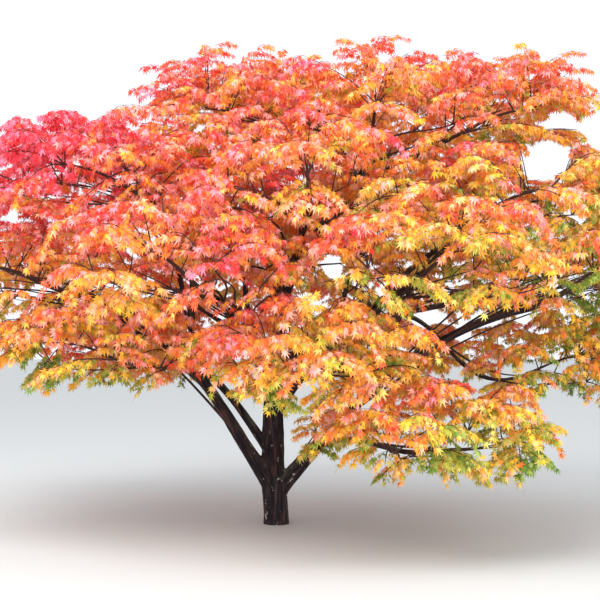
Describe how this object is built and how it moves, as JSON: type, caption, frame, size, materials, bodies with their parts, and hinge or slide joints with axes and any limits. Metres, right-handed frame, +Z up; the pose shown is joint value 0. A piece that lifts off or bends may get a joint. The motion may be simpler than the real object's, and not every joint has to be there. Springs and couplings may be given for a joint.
{
  "type": "japanese maple tree",
  "caption": "Spreading ornamental maple in autumn leaf: short tapering trunk cut flat at the ground, low fork, wandering boughs and layered pads of pointed lobed leaves.",
  "frame": {"origin": "centre of the trunk's flat cut at ground level, which is the ground mount", "axes": "+Z up the tree, +X to the right as the picture shows it, +Y away from the camera"},
  "size_m": [5.9431, 4.8864, 4.0221],
  "materials": {
    "bark": "matte",
    "leaves_red": "matte",
    "leaves_orange": "matte",
    "leaves_amber": "matte"
  },
  "bodies": {
    "root": {"trunk": "bark", "bough_middle_right_front": "bark", "bough_middle_left_front": "bark", "bough_middle_left_back": "bark", "bough_middle_back_right": "bark", "bough_middle_front_left": "bark", "bough_middle_back_left": "bark", "bough_middle_front_right": "bark", "bough_middle_right_back": "bark", "bough_top_back_right": "bark", "bough_top_left": "bark", "bough_top_front": "bark", "bough_top_right": "bark", "bough_top_back_left": "bark", "bough_shoulder_right": "bark", "bough_shoulder_back_right": "bark", "bough_shoulder_back_left": "bark", "bough_shoulder_left": "bark", "bough_shoulder_left_front": "bark", "bough_shoulder_front": "bark", "bough_shoulder_right_front": "bark", "bough_skirt_left_front": "bark", "bough_skirt_front": "bark", "bough_skirt_right": "bark", "bough_skirt_back": "bark", "bough_skirt_left_back": "bark", "bough_low_right_front": "bark", "bough_spur_front": "bark", "bough_inner_front": "bark", "bough_inner_back": "bark", "foliage_middle_right_front": "leaves_amber", "foliage_middle_left_front": "leaves_red", "foliage_middle_left_back": "leaves_red", "foliage_middle_back_right": "leaves_orange", "foliage_middle_front_left": "leaves_orange", "foliage_middle_back_left": "leaves_orange", "foliage_middle_front_right": "leaves_orange", "foliage_middle_right_back": "leaves_amber", "foliage_top_back_right": "leaves_orange", "foliage_top_left": "leaves_orange", "foliage_top_front": "leaves_orange", "foliage_top_right": "leaves_orange", "foliage_top_back_left": "leaves_orange", "foliage_shoulder_right": "leaves_amber", "foliage_shoulder_back_right": "leaves_orange", "foliage_shoulder_back_left": "leaves_orange", "foliage_shoulder_left": "leaves_red", "foliage_shoulder_left_front": "leaves_red", "foliage_shoulder_front": "leaves_orange", "foliage_shoulder_right_front": "leaves_orange", "foliage_skirt_left_front": "leaves_amber", "foliage_skirt_front": "leaves_amber", "foliage_skirt_right": "leaves_amber", "foliage_skirt_back": "leaves_amber", "foliage_skirt_left_back": "leaves_amber", "foliage_low_right_front": "leaves_amber", "foliage_spur_front": "leaves_amber", "foliage_inner_front": "leaves_orange", "foliage_inner_back": "leaves_orange"}
  },
  "joints": []
}
